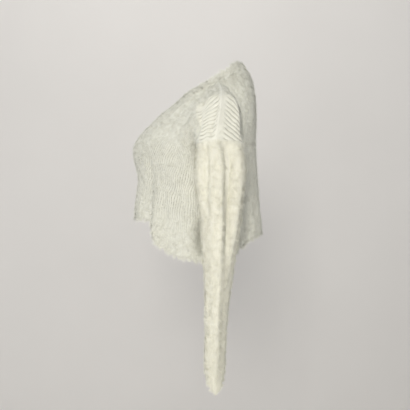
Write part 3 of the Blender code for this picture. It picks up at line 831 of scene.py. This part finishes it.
def drift(places, seed, pitch, waves=7):
    """A direction at each place that changes smoothly over about a pitch, so that hairs clump."""
    random = np.random.default_rng(seed)
    total = np.zeros(places.shape)
    for _ in range(waves):
        ways = unit(random.normal(size=(3, 3))) * 2 * math.pi / (pitch * (0.6 + random.random()))
        total += np.sin(places @ ways.T + random.random(3) * 2 * math.pi)
    return total / math.sqrt(waves / 2)


def edge_hairs(points, outward, closed, edge, random, seed):
    """The longer hairs along a free edge: roots, aims, sags, outward directions and lengths."""
    row, number, stand, reach = edge
    line, wall = points[row], outward[row]
    step = points[row] - points[row - 1 if row else 1]
    if closed:
        line, wall, step = (np.concatenate([x, x[:1]]) for x in (line, wall, step))
    steps = np.linalg.norm(np.diff(line, axis=0), axis=1)
    stations = np.concatenate([[0], np.cumsum(steps)])
    at = random.random(number) * stations[-1]
    root, side, on = (
        stack(*(np.interp(at, stations, values[:, k]) for k in range(3)))
        for values in (line, wall, unit(step))
    )
    side, on = unit(side), unit(on)
    free = unit(random.normal(size=(number, 3))) * 0.6 + drift(root, seed, EDGE_CLUMP) * 0.6
    aim = unit(on * stand + free * 0.5 + side * (random.random((number, 1)) - 0.4) * 0.8)
    droop = unit(on * 0.3 + free * 0.6 + np.array([0, 0, -0.5]))
    length = reach * (0.45 + 0.55 * random.random(number) ** 1.5) * MM
    return root - side * SHELL * random.random((number, 1)), aim, droop, side, length


def pile(name, shell, closed, brush, count, edges, seed, mirror=False):
    """The brushed pile of a shell, and the longer hairs along its free edges.

    brush is 1 where the pile is brushed from row to row of the grid, and -1 where it is brushed
    back. An edge is its row of the grid, its number of hairs, how much they stand along the cloth
    and the longest one in mm.
    """
    points, outward, density = shell
    random = np.random.default_rng(seed)
    place, out, brushed = spread(points, outward, density, closed, count, random)
    brushed = brushed * brush
    clump = drift(place, seed + 1, CLUMP)
    loose = unit(random.normal(size=(count, 3))) * 0.45 + clump * 0.55
    loose -= out * (loose * out).sum(axis=1, keepdims=True)
    lift = 0.25 + 0.75 * random.random((count, 1)) ** 1.5
    aim = unit(brushed * 0.5 + loose * 0.8 + out * lift)
    sag = unit(brushed * 0.7 + loose - out * 0.25)
    length = (HAIR_LENGTH[0] + HAIR_LENGTH[1] * random.random(count) ** 2.2) * MM
    parts = [(place - out * 0.3 * MM, aim, sag, out, length)]
    parts += [edge_hairs(points, outward, closed, edge, random, seed + 2) for edge in edges]
    roots, aim, sag, out, length = (np.concatenate(some) for some in zip(*parts))
    total = len(roots)
    width = (HAIR_WIDTH[0] + HAIR_WIDTH[1] * random.random(total)) * MM
    twist = (random.random(total) - 0.5) * 1.1
    patches = drift(roots, seed + 3, TONE_PATCH)[:, 0]
    shades = np.clip(random.random(total) * 0.8 + 0.10 + 0.08 * patches, 0, 1)
    return hair_mesh(name, roots, aim, sag, out, length, width, twist, shades, mirror)


# ---------------- materials


def new_material(name):
    """A material with its node tree and its shader."""
    material = bpy.data.materials.new(name)
    material.use_nodes = True
    tree = material.node_tree
    return material, tree, tree.nodes["Principled BSDF"]


def fill(node, **inputs):
    """A node with the named inputs set, where _ stands for a space."""
    for name, value in inputs.items():
        node.inputs[name.replace("_", " ")].default_value = value
    return node


def noise(tree, scale, detail, roughness):
    """Noise over a thing's own coordinates."""
    place = tree.nodes.new("ShaderNodeTexCoord")
    node = tree.nodes.new("ShaderNodeTexNoise")
    fill(node, Scale=scale, Detail=detail, Roughness=roughness)
    tree.links.new(place.outputs["Object"], node.inputs["Vector"])
    return node.outputs[0]


def uv_pair(tree, name):
    """The two numbers of a UV map."""
    pair = tree.nodes.new("ShaderNodeUVMap")
    pair.uv_map = name
    split = tree.nodes.new("ShaderNodeSeparateXYZ")
    tree.links.new(pair.outputs[0], split.inputs[0])
    return split.outputs["X"], split.outputs["Y"]


def ramp(tree, factor, *stops):
    """A colour for each factor, between stops of a place and a colour."""
    node = tree.nodes.new("ShaderNodeValToRGB")
    while len(node.color_ramp.elements) < len(stops):
        node.color_ramp.elements.new(0.5)
    for element, (place, colour) in zip(node.color_ramp.elements, stops):
        element.position = place
        element.color = (*colour, 1)
    tree.links.new(factor, node.inputs[0])
    return node.outputs[0]


def maths(tree, operation, value, by=0.0):
    node = tree.nodes.new("ShaderNodeMath")
    node.operation = operation
    node.inputs[1].default_value = by
    tree.links.new(value, node.inputs[0])
    return node.outputs[0]


def mixed(tree, blend, tone, other, factor=None):
    mix = tree.nodes.new("ShaderNodeMix")
    mix.data_type = "RGBA"
    mix.blend_type = blend
    mix.inputs["Factor"].default_value = 1.0
    if factor:
        tree.links.new(factor, mix.inputs["Factor"])
    tree.links.new(tone, mix.inputs["A"])
    tree.links.new(other, mix.inputs["B"])
    return mix.outputs["Result"]


def paint_groove_shade(tree, tone, number, rate, strength):
    """Darkens a tone with painted shade in the grooves between ridges, which are where number times
    rate is whole.
    """
    turn = maths(tree, "MULTIPLY", number, math.pi * rate)
    ridge = maths(tree, "ABSOLUTE", maths(tree, "COSINE", turn))
    groove_shade = ramp(tree, ridge, (0.0, (0.42, 0.40, 0.35)), (0.62, (1.0,) * 3))
    return mixed(tree, "MULTIPLY", tone, groove_shade, strength)


def knit_material(name, dark, light, cap_dark, cap_light):
    """Cream rib knit: patches of tone, painted shade in the grooves, stitches along the ribs and a
    fine nap.

    The cap's pleats have lighter tones of their own, painted light for the brighter light that they
    catch.
    """
    material, tree, shader = new_material(name)
    number, along = uv_pair(tree, "knit")
    ribs, cap = uv_pair(tree, "relief")
    in_cap = ramp(tree, cap, (0.0, (0.0,) * 3), (0.5, (1.0,) * 3))
    in_pleats = ramp(tree, cap, (0.5, (0.0,) * 3), (1.0, (1.0,) * 3))
    patches = noise(tree, scale=22.0, detail=4.0, roughness=0.6)
    tone = ramp(tree, patches, (0.30, dark), (0.68, light))
    # The cap's lighter, warmer copy of the tone is painted light, for the brighter light on the
    # cap.
    cap_lit_tone = ramp(tree, patches, (0.30, cap_dark), (0.68, cap_light))
    tone = mixed(tree, "MIX", tone, cap_lit_tone, in_cap)
    # Painted shade: darker in the grooves of the ribs and of the cap's pleats.
    tone = paint_groove_shade(tree, tone, number, 1.0, ribs)
    tone = paint_groove_shade(tree, tone, number, 1 / RIBS_TO_PLEAT, in_pleats)
    tree.links.new(tone, shader.inputs["Base Color"])
    stitch = maths(tree, "SINE", maths(tree, "MULTIPLY", along, 2 * math.pi / STITCH))
    height = maths(tree, "MULTIPLY_ADD", stitch, 0.10)
    nap = noise(tree, scale=420.0, detail=3.0, roughness=0.65)
    tree.links.new(nap, height.node.inputs[2])
    bump = fill(tree.nodes.new("ShaderNodeBump"), Strength=0.55, Distance=1.2 * MM)
    tree.links.new(height, bump.inputs["Height"])
    tree.links.new(bump.outputs[0], shader.inputs["Normal"])
    fill(shader, Roughness=0.95, Specular_IOR_Level=0.15)
    fill(shader, Sheen_Weight=0.35, Sheen_Roughness=0.5, Sheen_Tint=(1.0, 0.98, 0.93, 1))
    return material


def pile_material(name, dark, light):
    """Brushed hairs, each with its own tone, and painted shade that makes them darker at the root.
    """
    material, tree, shader = new_material(name)
    shade, along = uv_pair(tree, "strand")
    tone = ramp(tree, shade, (0.0, dark), (0.8, light))
    # Painted shade: each hair is darker towards its root, where the pile shades itself.
    depth = ramp(tree, along, (0.0, (0.88,) * 3), (0.6, (1.0,) * 3))
    tree.links.new(mixed(tree, "MULTIPLY", tone, depth), shader.inputs["Base Color"])
    fill(shader, Roughness=0.8, Specular_IOR_Level=0.2, Sheen_Weight=0.3, Sheen_Roughness=0.4)
    return material


# Dark and light tones of each cloth, all one cream yarn: the sleeve's lighter, warmer copy is
# painted light and the body's darker copy is painted shade, after how the light falls on each; the
# cap's lighter tones are painted light too.
BODY_KNIT_SHADED = (0.67, 0.67, 0.605), (0.76, 0.76, 0.69)
BODY_PILE_SHADED = (0.765, 0.76, 0.685), (0.845, 0.84, 0.758)
CAP_KNIT_LIT = (0.765, 0.755, 0.67), (0.845, 0.835, 0.745)
SLEEVE_KNIT_LIT = (0.745, 0.73, 0.635), (0.805, 0.79, 0.69)
SLEEVE_PILE_LIT = (0.83, 0.815, 0.71), (0.88, 0.865, 0.756)


# ---------------- the sweater


def show(name, mesh, material):
    """A piece of the sweater in the scene, on the part's one body."""
    piece = bpy.data.objects.new(name, mesh)
    bpy.context.scene.collection.objects.link(piece)
    mesh.materials.append(material)
    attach(piece, "root")
    return piece


def build():
    """Makes the knit and the pile of each node, and returns the pieces by node and by name."""
    body = (
        knit_material("body_knit", *BODY_KNIT_SHADED, *CAP_KNIT_LIT),
        pile_material("body_pile", *BODY_PILE_SHADED),
    )
    sleeve = (
        knit_material("sleeve_knit", *SLEEVE_KNIT_LIT, *SLEEVE_KNIT_LIT),
        pile_material("sleeve_pile", *SLEEVE_PILE_LIT),
    )
    cloths = {"body_knit": body, "sleeve_knit": sleeve, "neckband_knit": body}
    made, rims = {}, []

    def dress(node, slot, grids, closed, hairs, edges, seed, brush, mirror=False, turned=None):
        """turned is the grids with their rows reversed, so that the shell's outside faces out."""
        outer, outward, knit, density = grids
        knit_look, pile_look = cloths[slot]
        shell = shell_mesh(f"{node}_knit", *(turned or (outer, outward, knit)), closed, mirror)
        made[node] = show(f"{node}_knit", shell, knit_look)
        coat = pile(
            f"{node}_pile", (outer, outward, density), closed, brush, hairs, edges, seed, mirror
        )
        made[f"{node}_pile"] = show(f"{node}_pile", coat, pile_look)

    for node in ("front", "back"):
        grids = panel_shell(node == "front")
        rims.append(grids[0][PANEL_ROWS[0] :, -1])
        if node == "back":  # its outside faces the other way
            grids = tuple(grid[:, ::-1] for grid in grids)
        edges = ((0, 4000, 1.0, 11.0),)
        dress(node, "body_knit", grids, False, HAIRS[node], edges, 100, -1)
    grids = sleeve_shell(rims)
    turned = tuple(grid[::-1] for grid in grids[:3])
    edges = ((-1, 1600, 1.0, 8.0),)
    for node, mirror in (("sleeve_left", False), ("sleeve_right", True)):
        dress(node, "sleeve_knit", grids, True, HAIRS["sleeve"], edges, 200, 1, mirror, turned)
    edges = ((-1, 5000, 0.9, 14.0), (0, 1500, 0.5, 9.0))
    dress("neckband", "neckband_knit", band_shell(), True, HAIRS["neckband"], edges, 300, 1)
    return made


def declare(made):
    """Hides the CAD part of each node that a knit replaces."""
    cuts = {
        "front": ((0.70, 0.45), 0.225, ["neckband_knit"]),
        "back": ((0.66, 0.41), 0.180, ["neckband_knit"]),
        "sleeve_left": ((0.30, 0.51), 0.105, ["front_knit", "back_knit"]),
        "sleeve_right": ((0.30, 0.51), 0.105, ["front_knit", "back_knit"]),
        "neckband": ((0.50, 0.026), None, ["front_knit", "back_knit"]),
    }
    for node, (flat, area, on) in cuts.items():
        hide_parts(node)


# ---------------- the studio

WALL_X = -2.2
FLOOR_Z = -1.6
WALL_TOP = 4.0
ROOM = 6.0  # from the middle to its far edges
LIT = (0.1, -0.05, -0.25)  # where the key and the fill point

PICTURE = 410  # pixels a side
FOCAL_LENGTH = 646  # pixels
RISE = -10  # pixels from the camera's level up to the picture's middle
SENSOR = 36.0
CAMERA_PLACE = (1.55, -0.030, -0.258)


def plaster(name, dark, light):
    material, tree, shader = new_material(name)
    patches = noise(tree, scale=1.3, detail=3.0, roughness=0.5)
    tone = ramp(tree, patches, (0.3, dark), (0.7, light))
    tree.links.new(tone, shader.inputs["Base Color"])
    fill(shader, Roughness=0.9)
    return material


def slab(name, corners, material):
    mesh = bpy.data.meshes.new(name)
    mesh.from_pydata(corners, [], [tuple(range(len(corners)))])
    mesh.materials.append(material)
    thing = bpy.data.objects.new(name, mesh)
    bpy.context.scene.collection.objects.link(thing)


def area_light(name, place, target, size, power, colour):
    light = bpy.data.lights.new(name, "AREA")
    light.shape = "RECTANGLE"
    light.size, light.size_y = size
    light.energy = power
    light.color = colour
    lamp = bpy.data.objects.new(name, light)
    bpy.context.scene.collection.objects.link(lamp)
    lamp.location = place
    lamp.visible_camera = False
    lamp.rotation_euler = (Vector(target) - Vector(place)).to_track_quat("-Z", "Y").to_euler()


def studio():
    wall = plaster("wall_paint", (0.83, 0.805, 0.78), (0.86, 0.835, 0.81))
    ground = plaster("floor_paint", (0.70, 0.69, 0.67), (0.73, 0.72, 0.70))
    upright = ((-ROOM, FLOOR_Z), (ROOM, FLOOR_Z), (ROOM, WALL_TOP), (-ROOM, WALL_TOP))
    level = ((WALL_X, -ROOM), (ROOM, -ROOM), (ROOM, ROOM), (WALL_X, ROOM))
    slab("backdrop", [(WALL_X, y, z) for y, z in upright], wall)
    slab("floor", [(x, y, FLOOR_Z) for x, y in level], ground)
    world = bpy.data.worlds.new("soft_room")
    bpy.context.scene.world = world
    world.use_nodes = True
    fill(world.node_tree.nodes["Background"], Color=(0.96, 0.985, 1.0, 1), Strength=0.34)
    area_light("key", (3.0, -0.28, 0.36), LIT, (0.75, 0.65), 61.0, (1.0, 0.975, 0.925))
    area_light("fill", (0.5, -2.8, -0.2), LIT, (1.2, 1.2), 14.0, (0.97, 0.98, 1.0))
    wash, on_wall = (-0.5, -0.3, 2.4), (-2.2, -0.35, -0.7)
    area_light("wall_wash", wash, on_wall, (3.0, 0.6), 25.0, (1.0, 0.98, 0.96))
    camera = bpy.data.cameras.new("camera")
    camera.sensor_width = SENSOR
    camera.lens = SENSOR * FOCAL_LENGTH / PICTURE
    camera.shift_y = RISE / PICTURE
    eye = bpy.data.objects.new("camera", camera)
    bpy.context.scene.collection.objects.link(eye)
    eye.location = CAMERA_PLACE
    eye.rotation_euler = (math.pi / 2, 0.0, math.pi / 2)
    bpy.context.scene.camera = eye
    bpy.context.scene.view_settings.view_transform = "Standard"


declare(build())
studio()
